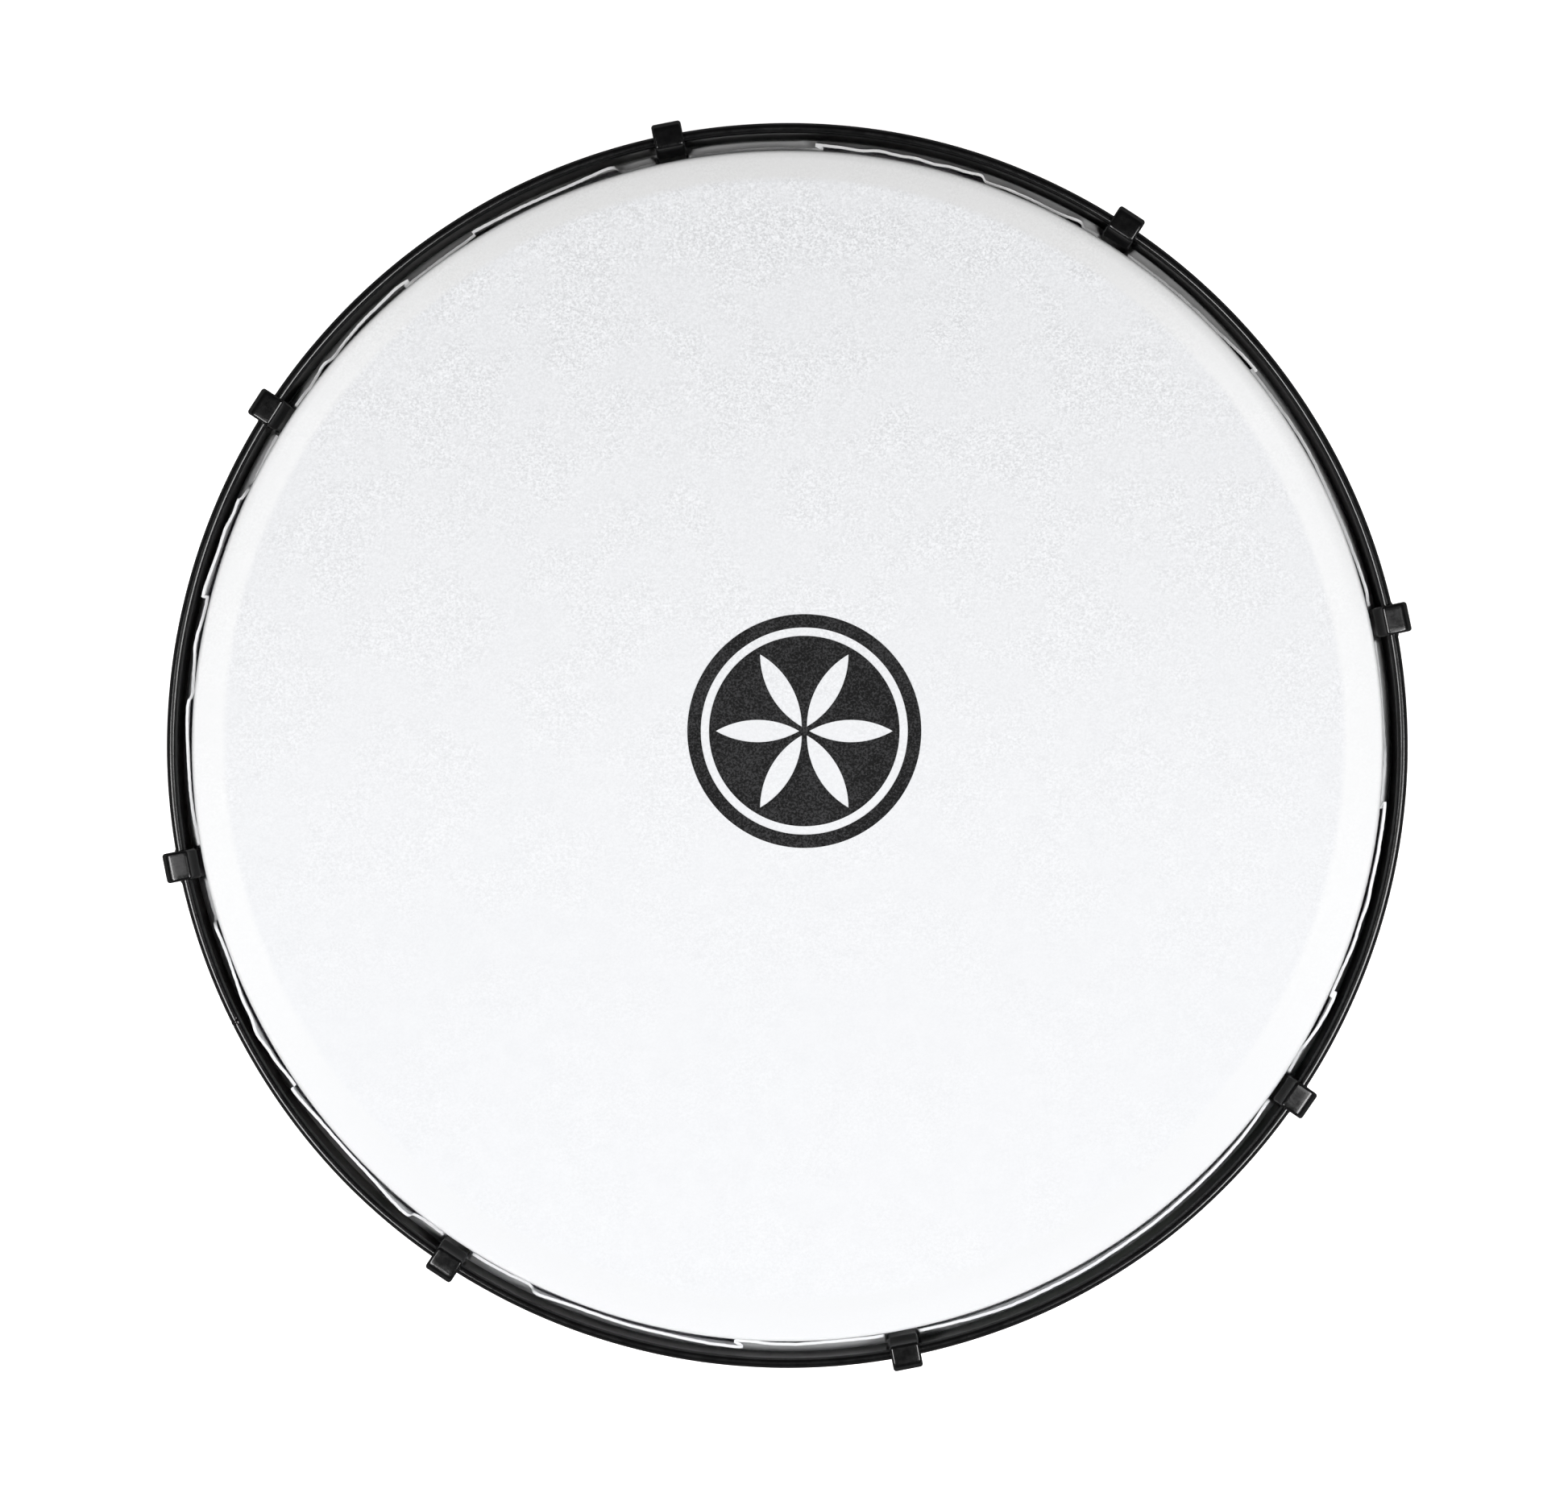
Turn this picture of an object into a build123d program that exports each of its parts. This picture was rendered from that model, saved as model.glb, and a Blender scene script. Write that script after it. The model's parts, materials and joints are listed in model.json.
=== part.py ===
from build123d import *
import os
from math import cos, pi, radians, sin, sqrt

os.makedirs("parts", exist_ok=True)

# A tunable bodhran: a bent wooden shell with a goatskin head. The skin is lapped round a wire flesh hoop,
# and eight claw hooks pull a steel counter hoop down on it. All sizes are in millimetres. The drum lies on
# its open back rim at z = 0, head upwards, with the origin in the middle of that rim.

# Shell
SHELL_DIAMETER = 355.6
SHELL_WALL = 10.0
SHELL_DEPTH = 95.0
BEARING_EDGE_R = 3.0
INNER_EDGE_CHAMFER = 1.5
BACK_EDGE_R = 1.5

# Skin
SKIN = 0.8
SIDE_END_Z = 84.0
FLAP_TOP_Z = 91.0

# Flesh hoop and counter hoop
WIRE_R = 2.0
FLESH_HOOP_R = 183.8
FLESH_HOOP_Z = 75.9
HOOP_INNER_R = 183.2
HOOP_WALL = 3.1
HOOP_TOP_Z = 94.8
HOOP_HEIGHT = 16.0
HOOP_TOP_ROUND = 1.5
HOOP_FOOT_ROUND = 0.4

# Claw hooks, placed by hand: nearly an eighth of a turn apart
HOOK_ANGLES = (11.8, 57.0, 101.1, 147.0, 191.2, 236.5, 281.0, 325.3)
STRAP_WIDTH = 9.0
STRAP = 2.0
STRAP_GAP = 0.05
STRAP_INNER_R = 180.2
STRAP_OUTER_R = 190.3
STRAP_BEND = 2.8
CLAW_LENGTH = 12.0
ROD_DIAMETER = 5.0
ROD_PITCH = 0.8
ROD_CENTRE_R = 189.3
ROD_TOP_Z = 81.0
ROD_END_Z = 22.0
ROD_END_CHAMFER = 0.6

# Lug brackets
LUG_WIDTH = 14.0
LUG_PLATE = 2.5
LUG_TAB = 3.0
LUG_TAB_Z = 40.0
LUG_TOP_Z = 68.0
LUG_REACH = 194.3
LUG_BEND = 2.0
LUG_CORNER = 3.0
ROD_HOLE_R = 2.8
LUG_BOLT_HEIGHTS = (50.5, 61.5)

# M4 bolts that hold the brackets
BOLT_R = 2.0
BOLT_HOLE_R = 2.1
BOLT_HEAD_R = 4.0
BOLT_HEAD = 2.4
BOLT_SOCKET_R = 1.44
BOLT_SOCKET_DEPTH = 1.3
BOLT_TAIL = 6.2
BOLT_WASHER_R = 4.5
BOLT_WASHER = 0.8
BOLT_NUT_FLATS = 7.0
BOLT_NUT = 3.2

# M5 tuning nuts and their washers
TUNING_NUT_FLATS = 8.0
TUNING_NUT = 6.0
TUNING_NUT_BORE_R = 2.55
NUT_CHAMFER = 0.5
TUNING_WASHER_R = 5.0
TUNING_WASHER = 1.0
RUNNING_GAP = 0.02

# Crossbars and their screws
BAR_WIDTH = 22.0
BAR_DEPTH = 11.0
BAR_Z = 8.0
BAR_EDGE_R = 2.0
BAR_END_GAP = 0.05
WOOD_SCREW_R = 2.0
WOOD_SCREW_HEAD_R = 4.0
WOOD_SCREW_HEAD = 2.4
WOOD_SCREW_LENGTH = 38.0
WOOD_SCREW_TIP = 5.0
WOOD_SCREW_POINT_R = 0.3
WOOD_SCREW_CLEARANCE = 0.05
WOOD_SCREW_SLOT = 1.0

# Printed roundel on the skin
PRINT_R = 35.0
PRINT = 0.1
PRINT_CENTRE = (5.0, 4.4)
PETAL_R = 25.0
PETAL_START = 1.5
PETAL_COUNT = 6
BORDER_INNER_R = 28.5
BORDER_OUTER_R = 31.0

SHELL_R = SHELL_DIAMETER / 2
SHELL_INNER_R = SHELL_R - SHELL_WALL
HEAD_R = SHELL_R + SKIN
HEAD_Z = SHELL_DEPTH + SKIN
LAP_R = WIRE_R + SKIN
STRAP_TOP_Z = HOOP_TOP_Z + STRAP_GAP + STRAP
LUG_FACE_R = SHELL_R + LUG_PLATE
BAR_MIDDLE_Z = BAR_Z + BAR_DEPTH / 2


def section_point(r, z):
    """A point of a radial section, which lies in the XZ plane."""
    return (r, 0, z)


def spun(face):
    """A radial section turned all the way round the drum's axis."""
    return revolve(face, Axis.Z, 360)


def radial_box(r_low, r_high, width, z_low, z_high):
    """A box that stands across the X axis from one radius to another."""
    middle = Pos((r_low + r_high) / 2, 0, (z_low + z_high) / 2)
    return middle * Box(r_high - r_low, width, z_high - z_low)


def radial_cylinder(radius, r_low, r_high, z):
    """A round bar along the X axis at a height."""
    return Pos((r_low + r_high) / 2, 0, z) * Rot(0, 90, 0) * Cylinder(radius, r_high - r_low)


def upright_cylinder(radius, r, z_low, z_high):
    """A round bar parallel to the drum's axis, in the X direction from it."""
    return Pos(r, 0, (z_low + z_high) / 2) * Cylinder(radius, z_high - z_low)


def turned(shape, angle):
    """A shape moved round the drum's axis."""
    return Rot(0, 0, angle) * shape


def at_hooks(shape):
    """Copies of a shape at every hook."""
    return [turned(shape, angle) for angle in HOOK_ANGLES]


def save(name, *solids):
    """Writes one node of one or more separate solids."""
    whole = solids[0] if len(solids) == 1 else Compound(children=list(solids))
    export_step(whole, f"parts/{name}.step")


def hexagon_prism(flats, height):
    """A hexagonal bar along Z, with a point of the hexagon on the X axis."""
    return extrude(RegularPolygon(flats / sqrt(3), 6), height)


def bolt_axis(r_start, z):
    """Where a bolt's own axis starts: pointing outwards along X, from a radius and a height."""
    return Pos(r_start, 0, z) * Rot(0, 90, 0)


def countersink(grow):
    """The tapered head of a crossbar screw, its flat top level with the shell's outer face."""
    head_r = WOOD_SCREW_HEAD_R + grow
    top = SHELL_R - 0.1 + grow
    cone = Pos(0, 0, -WOOD_SCREW_HEAD / 2) * Cone(WOOD_SCREW_R + grow, head_r, WOOD_SCREW_HEAD)
    return Pos(top, 0, BAR_MIDDLE_Z) * Rot(0, 90, 0) * cone


def crossbar_screw_space(grow):
    """The room that a crossbar screw takes, its shank and tip along X."""
    tip_r = SHELL_R - WOOD_SCREW_LENGTH
    shank = radial_cylinder(WOOD_SCREW_R + grow, tip_r + WOOD_SCREW_TIP, SHELL_R - 1, BAR_MIDDLE_Z)
    tip = Pos(tip_r + WOOD_SCREW_TIP, 0, BAR_MIDDLE_Z) * Rot(0, -90, 0)
    cone_place = (Align.CENTER, Align.CENTER, Align.MIN)
    tip *= Cone(WOOD_SCREW_R + grow, WOOD_SCREW_POINT_R + grow, WOOD_SCREW_TIP, align=cone_place)
    return shank + tip + countersink(grow)


def shell():
    """The bent wooden frame, with a rounded bearing edge and holes for every bolt and screw."""
    section = make_face(Polyline(
        section_point(SHELL_INNER_R, 0),
        section_point(SHELL_R, 0),
        section_point(SHELL_R, SHELL_DEPTH),
        section_point(SHELL_INNER_R, SHELL_DEPTH),
        close=True,
    ))
    corners = section.vertices()
    outer_top = corners.filter_by_position(Axis.Z, 1, SHELL_DEPTH).sort_by(Axis.X)[-1]
    section = fillet(outer_top, BEARING_EDGE_R)
    inner_top = section.vertices().filter_by_position(Axis.Z, 1, SHELL_DEPTH + 1).sort_by(Axis.X)[0]
    section = chamfer(inner_top, INNER_EDGE_CHAMFER)
    section = fillet(section.vertices().filter_by_position(Axis.Z, -1, 1), BACK_EDGE_R)
    ring = spun(section)
    drill = radial_cylinder(BOLT_HOLE_R, SHELL_INNER_R - 5, SHELL_R + 5, LUG_BOLT_HEIGHTS[0])
    drill += radial_cylinder(BOLT_HOLE_R, SHELL_INNER_R - 5, SHELL_R + 5, LUG_BOLT_HEIGHTS[1])
    ring -= at_hooks(drill)
    ring -= [turned(crossbar_screw_space(WOOD_SCREW_CLEARANCE), 90 * i) for i in range(4)]
    return ring


def crossbar(lap_side):
    """A crossbar along X, halved in the middle: lap_side 1 keeps the upper half there, and -1 the lower."""
    bar = Pos(0, 0, BAR_MIDDLE_Z) * Box(SHELL_DIAMETER, BAR_WIDTH, BAR_DEPTH)
    bar = fillet(bar.edges().filter_by(Axis.X), BAR_EDGE_R)
    inside = Pos(0, 0, BAR_MIDDLE_Z) * Cylinder(SHELL_INNER_R - BAR_END_GAP, 2 * BAR_DEPTH)
    bar &= inside
    notch_middle = BAR_MIDDLE_Z - lap_side * BAR_DEPTH / 2
    bar -= Pos(0, 0, notch_middle) * Box(BAR_WIDTH, 2 * BAR_WIDTH, BAR_DEPTH)
    bar -= [turned(crossbar_screw_space(WOOD_SCREW_CLEARANCE), angle) for angle in (0, 180)]
    return bar


def crossbar_screw():
    """A slotted countersunk wood screw along X."""
    slot_floor = SHELL_R - 0.1 - WOOD_SCREW_SLOT
    slot = radial_box(slot_floor, SHELL_R + 1, WOOD_SCREW_SLOT, BAR_Z - 5, BAR_Z + BAR_DEPTH + 5)
    return crossbar_screw_space(0) - slot


def goatskin_head():
    """The playing surface, drawn flat over the shell's top and rolled over its bearing edge."""
    bend_r = SHELL_R - BEARING_EDGE_R
    bend_z = SHELL_DEPTH - BEARING_EDGE_R
    slant = sqrt(0.5)
    outer_bend = BEARING_EDGE_R + SKIN
    lines = [
        Line(section_point(0, SHELL_DEPTH), section_point(bend_r, SHELL_DEPTH)),
        ThreePointArc(
            section_point(bend_r, SHELL_DEPTH),
            section_point(bend_r + BEARING_EDGE_R * slant, bend_z + BEARING_EDGE_R * slant),
            section_point(SHELL_R, bend_z),
        ),
        Line(section_point(SHELL_R, bend_z), section_point(HEAD_R, bend_z)),
        ThreePointArc(
            section_point(HEAD_R, bend_z),
            section_point(bend_r + outer_bend * slant, bend_z + outer_bend * slant),
            section_point(bend_r, HEAD_Z),
        ),
        Line(section_point(bend_r, HEAD_Z), section_point(0, HEAD_Z)),
        Line(section_point(0, HEAD_Z), section_point(0, SHELL_DEPTH)),
    ]
    return spun(make_face(lines))


def goatskin_collar():
    """The skin down the shell's side and out to the flesh hoop. It stretches when the drum is tuned."""
    top = SHELL_DEPTH - BEARING_EDGE_R
    section = make_face(Polyline(
        section_point(SHELL_R, top),
        section_point(HEAD_R, top),
        section_point(HEAD_R, SIDE_END_Z),
        section_point(FLESH_HOOP_R - WIRE_R, FLESH_HOOP_Z),
        section_point(FLESH_HOOP_R - LAP_R, FLESH_HOOP_Z),
        section_point(SHELL_R, SIDE_END_Z),
        close=True,
    ))
    return spun(section)


def on_wire(radius, angle):
    """A point of the section at a distance and an angle from the flesh hoop's centre."""
    return section_point(
        FLESH_HOOP_R + radius * cos(radians(angle)),
        FLESH_HOOP_Z + radius * sin(radians(angle)),
    )


def goatskin_lap():
    """The skin wrapped round the flesh hoop, and its trimmed edge standing inside the counter hoop."""
    start = 180
    end = 480
    middle = (start + end) / 2
    wrap = make_face([
        ThreePointArc(on_wire(WIRE_R, start), on_wire(WIRE_R, middle), on_wire(WIRE_R, end)),
        Line(on_wire(WIRE_R, end), on_wire(LAP_R, end)),
        ThreePointArc(on_wire(LAP_R, end), on_wire(LAP_R, middle), on_wire(LAP_R, start)),
        Line(on_wire(LAP_R, start), on_wire(WIRE_R, start)),
    ])
    flap_outer_r = HOOP_INNER_R - 0.05
    flap_foot_z = FLESH_HOOP_Z + WIRE_R + 0.1
    flap = make_face(Polyline(
        section_point(flap_outer_r - SKIN, flap_foot_z),
        section_point(flap_outer_r, flap_foot_z),
        section_point(flap_outer_r, FLAP_TOP_Z),
        section_point(flap_outer_r - SKIN, FLAP_TOP_Z),
        close=True,
    ))
    return spun(wrap) + spun(flap)


def flesh_hoop():
    """The round wire ring that the skin is lapped over."""
    return Pos(0, 0, FLESH_HOOP_Z) * Torus(FLESH_HOOP_R, WIRE_R)


def counter_hoop():
    """The flat steel band that presses on the lapped skin, its top edge rolled round."""
    outer_r = HOOP_INNER_R + HOOP_WALL
    bottom_z = HOOP_TOP_Z - HOOP_HEIGHT
    section = make_face(Polyline(
        section_point(HOOP_INNER_R, bottom_z),
        section_point(outer_r, bottom_z),
        section_point(outer_r, HOOP_TOP_Z),
        section_point(HOOP_INNER_R, HOOP_TOP_Z),
        close=True,
    ))
    top_corners = section.vertices().filter_by_position(Axis.Z, HOOP_TOP_Z - 1, HOOP_TOP_Z + 1)
    section = fillet(top_corners, HOOP_TOP_ROUND)
    foot_corners = section.vertices().filter_by_position(Axis.Z, bottom_z - 1, bottom_z + 0.1)
    section = fillet(foot_corners, HOOP_FOOT_ROUND)
    return spun(section)


def strap_section():
    """The claw's bent flat strap, seen from its side."""
    foot_z = HOOP_TOP_Z - CLAW_LENGTH
    outline = make_face(Polyline(
        section_point(STRAP_INNER_R, foot_z),
        section_point(STRAP_OUTER_R, foot_z),
        section_point(STRAP_OUTER_R, STRAP_TOP_Z),
        section_point(STRAP_INNER_R, STRAP_TOP_Z),
        close=True,
    ))
    top_corners = outline.vertices().filter_by_position(Axis.Z, foot_z + 1, STRAP_TOP_Z + 1)
    outline = fillet(top_corners, STRAP_BEND)
    space = make_face(Polyline(
        section_point(STRAP_INNER_R + STRAP, foot_z - 1),
        section_point(STRAP_OUTER_R - STRAP, foot_z - 1),
        section_point(STRAP_OUTER_R - STRAP, STRAP_TOP_Z - STRAP),
        section_point(STRAP_INNER_R + STRAP, STRAP_TOP_Z - STRAP),
        close=True,
    ))
    inner_corners = space.vertices().filter_by_position(Axis.Z, foot_z + 1, STRAP_TOP_Z)
    space = fillet(inner_corners, STRAP_BEND - STRAP)
    return outline - space


def tuning_hook():
    """A claw hook: a strap bent over the counter hoop, forged at its outer leg into a threaded rod."""
    foot_z = HOOP_TOP_Z - CLAW_LENGTH
    strap = extrude(strap_section(), STRAP_WIDTH / 2, both=True)
    strap_middle_r = STRAP_OUTER_R - STRAP / 2
    neck = loft([
        Pos(strap_middle_r, 0, foot_z) * Rectangle(STRAP, STRAP_WIDTH),
        Pos(ROD_CENTRE_R, 0, ROD_TOP_Z - ROD_DIAMETER) * Rectangle(ROD_DIAMETER * 0.8, ROD_DIAMETER * 0.8),
    ])
    rod = upright_cylinder(ROD_DIAMETER / 2, ROD_CENTRE_R, ROD_END_Z, ROD_TOP_Z - 1.5)
    rod = chamfer(rod.edges().sort_by(Axis.Z)[0], ROD_END_CHAMFER)
    return strap + neck + rod


def lug_bracket():
    """An angle bracket: a plate on the shell's side and a tab that the hook's rod passes through."""
    plate = radial_box(SHELL_R - 5, LUG_FACE_R + 5, LUG_WIDTH, LUG_TAB_Z, LUG_TOP_Z)
    plate = fillet(plate.edges().filter_by(Axis.X).group_by(Axis.Z)[-1], LUG_CORNER)
    band = Cylinder(LUG_FACE_R, 4 * LUG_TOP_Z) - Cylinder(SHELL_R, 4 * LUG_TOP_Z)
    plate &= band
    tab_top = LUG_TAB_Z + LUG_TAB
    tab = radial_box(SHELL_R - 5, LUG_REACH, LUG_WIDTH, LUG_TAB_Z, tab_top)
    tab = fillet(tab.edges().filter_by(Axis.Z).group_by(Axis.X)[-1], LUG_CORNER)
    tab -= Cylinder(SHELL_R, 4 * LUG_TOP_Z)
    corner = radial_box(SHELL_R - 5, LUG_FACE_R + LUG_BEND, LUG_WIDTH, tab_top, tab_top + LUG_BEND)
    corner -= Cylinder(SHELL_R, 4 * LUG_TOP_Z)
    hollow = Pos(LUG_FACE_R + LUG_BEND, 0, tab_top + LUG_BEND) * Rot(90, 0, 0)
    corner -= hollow * Cylinder(LUG_BEND, 2 * LUG_WIDTH)
    bracket = plate + tab + corner
    bracket -= upright_cylinder(ROD_HOLE_R, ROD_CENTRE_R, LUG_TAB_Z - 5, tab_top + 5)
    for z in LUG_BOLT_HEIGHTS:
        bracket -= radial_cylinder(BOLT_HOLE_R, SHELL_R - 5, LUG_FACE_R + 5, z)
    return bracket


def bracket_bolt(z):
    """A pan-head machine bolt with a hexagonal socket, through a bracket and the shell."""
    length = BOLT_TAIL + SHELL_WALL + LUG_PLATE
    shank = Cylinder(BOLT_R, length, align=(Align.CENTER, Align.CENTER, Align.MAX))
    head = Cylinder(BOLT_HEAD_R, BOLT_HEAD, align=(Align.CENTER, Align.CENTER, Align.MIN))
    head = fillet(head.edges().sort_by(Axis.Z)[-1], BOLT_HEAD * 0.6)
    socket = Pos(0, 0, BOLT_HEAD - BOLT_SOCKET_DEPTH) * hexagon_prism(2 * BOLT_SOCKET_R, BOLT_HEAD)
    return bolt_axis(LUG_FACE_R, z) * (shank + head - socket)


def bracket_bolt_washer(z):
    """A flat washer against the shell's inner face."""
    outer_face_r = SHELL_INNER_R - 0.1
    ring = Cylinder(BOLT_WASHER_R, BOLT_WASHER) - Cylinder(BOLT_HOLE_R, 2 * BOLT_WASHER)
    return bolt_axis(outer_face_r - BOLT_WASHER / 2, z) * ring


def chamfered_nut(flats, height, bore_r):
    """A hexagonal nut along Z with its corners turned off, standing on z = 0."""
    body = hexagon_prism(flats, height)
    corner_r = flats / sqrt(3)
    turned_blank = Cylinder(corner_r, height, align=(Align.CENTER, Align.CENTER, Align.MIN))
    turned_blank = chamfer(turned_blank.edges().filter_by(GeomType.CIRCLE), NUT_CHAMFER / 2, NUT_CHAMFER)
    bore = Pos(0, 0, height / 2) * Cylinder(bore_r, 2 * height)
    return (body & turned_blank) - bore


def bracket_bolt_nut(z):
    """The nut inside the shell that holds a bracket bolt."""
    outer_face_r = SHELL_INNER_R - 0.1 - BOLT_WASHER
    nut = chamfered_nut(BOLT_NUT_FLATS, BOLT_NUT, BOLT_R + RUNNING_GAP)
    return bolt_axis(outer_face_r - BOLT_NUT, z) * nut


def tuning_washer():
    """The washer between a bracket's tab and its tuning nut."""
    ring = upright_cylinder(TUNING_WASHER_R, ROD_CENTRE_R, LUG_TAB_Z - TUNING_WASHER, LUG_TAB_Z)
    return ring - upright_cylinder(ROD_HOLE_R, ROD_CENTRE_R, LUG_TAB_Z - 5, LUG_TAB_Z + 5)


def tuning_nut():
    """The nut under a bracket that draws its hook down."""
    foot_z = LUG_TAB_Z - TUNING_WASHER - RUNNING_GAP - TUNING_NUT
    nut = chamfered_nut(TUNING_NUT_FLATS, TUNING_NUT, TUNING_NUT_BORE_R)
    return Pos(ROD_CENTRE_R, 0, foot_z) * nut


def petal():
    """One pointed petal of a compass-drawn rosette, from near the centre out along X."""
    reach = PETAL_R * sin(pi / 3)
    side = PETAL_START + PETAL_R / 2
    return Pos(side, reach) * Circle(PETAL_R) & Pos(side, -reach) * Circle(PETAL_R)


def printed_roundel():
    """The printed ink disc, with a rosette and a border line left clear of ink."""
    ink = Circle(PRINT_R) - (Circle(BORDER_OUTER_R) - Circle(BORDER_INNER_R))
    ink -= [Rot(0, 0, 360 / PETAL_COUNT * i) * petal() for i in range(PETAL_COUNT)]
    layer = extrude(ink, PRINT)
    return [Pos(*PRINT_CENTRE, HEAD_Z) * piece for piece in layer.solids()]


save("shell", shell())
save("crossbar_lower", crossbar(-1))
save("crossbar_upper", turned(crossbar(1), 90))
save("crossbar_screws", *[turned(crossbar_screw(), 90 * i) for i in range(4)])
save("goatskin_head", goatskin_head())
save("goatskin_collar", goatskin_collar())
save("goatskin_lap", goatskin_lap())
save("printed_roundel", *printed_roundel())
save("flesh_hoop", flesh_hoop())
save("counter_hoop", counter_hoop())
save("tuning_washers", *at_hooks(tuning_washer()))
save("bracket_bolts", *[b for z in LUG_BOLT_HEIGHTS for b in at_hooks(bracket_bolt(z))])
save("bracket_bolt_washers", *[w for z in LUG_BOLT_HEIGHTS for w in at_hooks(bracket_bolt_washer(z))])
save("bracket_bolt_nuts", *[n for z in LUG_BOLT_HEIGHTS for n in at_hooks(bracket_bolt_nut(z))])
for number, angle in enumerate(HOOK_ANGLES, 1):
    save(f"tuning_hook_{number}", turned(tuning_hook(), angle))
    save(f"lug_bracket_{number}", turned(lug_bracket(), angle))
    save(f"tuning_nut_{number}", turned(tuning_nut(), angle))
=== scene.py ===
"""Looks for a tunable bodhran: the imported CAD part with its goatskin, steel, wood and ink, in metres."""

import json
from math import atan2, ceil, cos, degrees, exp, hypot, pi, radians, sin

import bpy
from mathutils import Matrix, Vector, noise


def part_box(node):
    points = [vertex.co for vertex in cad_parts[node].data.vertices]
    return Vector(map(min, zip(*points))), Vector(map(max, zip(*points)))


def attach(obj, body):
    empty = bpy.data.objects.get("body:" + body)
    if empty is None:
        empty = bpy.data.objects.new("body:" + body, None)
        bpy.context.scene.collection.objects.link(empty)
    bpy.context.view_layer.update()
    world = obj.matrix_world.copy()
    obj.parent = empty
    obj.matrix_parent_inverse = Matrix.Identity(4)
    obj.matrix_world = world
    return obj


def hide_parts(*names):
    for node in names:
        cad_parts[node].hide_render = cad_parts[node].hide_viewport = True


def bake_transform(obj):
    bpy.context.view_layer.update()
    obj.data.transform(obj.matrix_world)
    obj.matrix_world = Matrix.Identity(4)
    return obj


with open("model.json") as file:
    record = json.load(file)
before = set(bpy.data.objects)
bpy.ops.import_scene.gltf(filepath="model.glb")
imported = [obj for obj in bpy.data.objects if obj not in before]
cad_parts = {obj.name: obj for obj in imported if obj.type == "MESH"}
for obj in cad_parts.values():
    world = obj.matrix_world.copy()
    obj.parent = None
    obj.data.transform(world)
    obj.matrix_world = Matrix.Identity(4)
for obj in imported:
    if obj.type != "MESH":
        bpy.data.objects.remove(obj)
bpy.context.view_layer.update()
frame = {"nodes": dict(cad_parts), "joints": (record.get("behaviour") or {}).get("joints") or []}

MM = 0.001

# What the CAD says
HEAD_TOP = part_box("goatskin_head")[1]
HEAD_R = HEAD_TOP.x
HEAD_Z = HEAD_TOP.z
WIRE_LOW, WIRE_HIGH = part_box("flesh_hoop")
WIRE_R = (WIRE_HIGH.z - WIRE_LOW.z) / 2
WIRE_Z = (WIRE_HIGH.z + WIRE_LOW.z) / 2
WIRE_RING_R = WIRE_HIGH.x - WIRE_R
HOOP_LOW, HOOP_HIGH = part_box("counter_hoop")
HOOP_OUTER_R = HOOP_HIGH.x
HOOP_WALL = 3.1 * MM
HOOP_INNER_R = HOOP_OUTER_R - HOOP_WALL
NUT_JOINTS = [j for j in frame["joints"] if j["name"].startswith("nut_turn_")]
HOOK_DEGREES = [degrees(atan2(j["pos_m"][1], j["pos_m"][0])) % 360 for j in NUT_JOINTS]
ROD_RING_R = hypot(NUT_JOINTS[0]["pos_m"][0], NUT_JOINTS[0]["pos_m"][1])
STRAP_TOP_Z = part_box("tuning_hook_1")[1].z
ROD_END_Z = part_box("tuning_hook_1")[0].z

# Sizes that the boxes don't give
SKIN = 0.8 * MM
SHELL_R = HEAD_R - SKIN
BEARING_R = 3.0 * MM
STRAP_WIDTH = 9.0 * MM
STRAP = 2.0 * MM
STRAP_INNER_R = 180.2 * MM
STRAP_OUTER_R = 190.3 * MM
STRAP_FOOT_Z = 82.8 * MM
ROD_R = 2.5 * MM
ROD_PITCH = 0.8 * MM


def wobble(x, y=0.0, z=0.0):
    """Smooth repeatable noise between about -1 and 1."""
    return noise.noise(Vector((x, y, z)))


def lerp(a, b, share):
    return a + (b - a) * share


def smooth(share):
    """An even start and finish between 0 and 1."""
    share = min(1.0, max(0.0, share))
    return share * share * (3 - 2 * share)


def on_drum(degree, r, z):
    """A point at an angle, a radius and a height on the drum."""
    return (r * cos(radians(degree)), r * sin(radians(degree)), z)


# ---------------------------------------------------------------- meshes


def make_piece(name, points, faces, material, sharp=40):
    """A smooth-shaded mesh object with one material."""
    mesh = bpy.data.meshes.new(name)
    mesh.from_pydata(points, [], faces)
    mesh.validate()
    mesh.update()
    mesh.polygons.foreach_set("use_smooth", [True] * len(mesh.polygons))
    mesh.set_sharp_from_angle(angle=radians(sharp))
    mesh.materials.append(material)
    piece = bpy.data.objects.new(name, mesh)
    bpy.context.scene.collection.objects.link(piece)
    return piece


def loop_faces(columns, rows, first=0, closed_columns=True, closed_rows=True):
    """Quads between neighbouring columns of points, each column a loop or a line of rows."""
    faces = []
    for i in range(columns if closed_columns else columns - 1):
        a, b = i * rows, (i + 1) % columns * rows
        for j in range(rows if closed_rows else rows - 1):
            k = (j + 1) % rows
            faces.append((first + a + j, first + b + j, first + b + k, first + a + k))
    return faces


def arc(centre, radius, start, end, steps):
    """Points of a circular arc in a radial section, angles in degrees."""
    turn = [radians(lerp(start, end, i / steps)) for i in range(steps + 1)]
    return [(centre[0] + radius * cos(t), centre[1] + radius * sin(t)) for t in turn]


def straight(start, end, steps):
    """Even points from one (r, z) to another, both included."""
    shares = [i / steps for i in range(steps + 1)]
    return [(lerp(start[0], end[0], share), lerp(start[1], end[1], share)) for share in shares]


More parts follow.
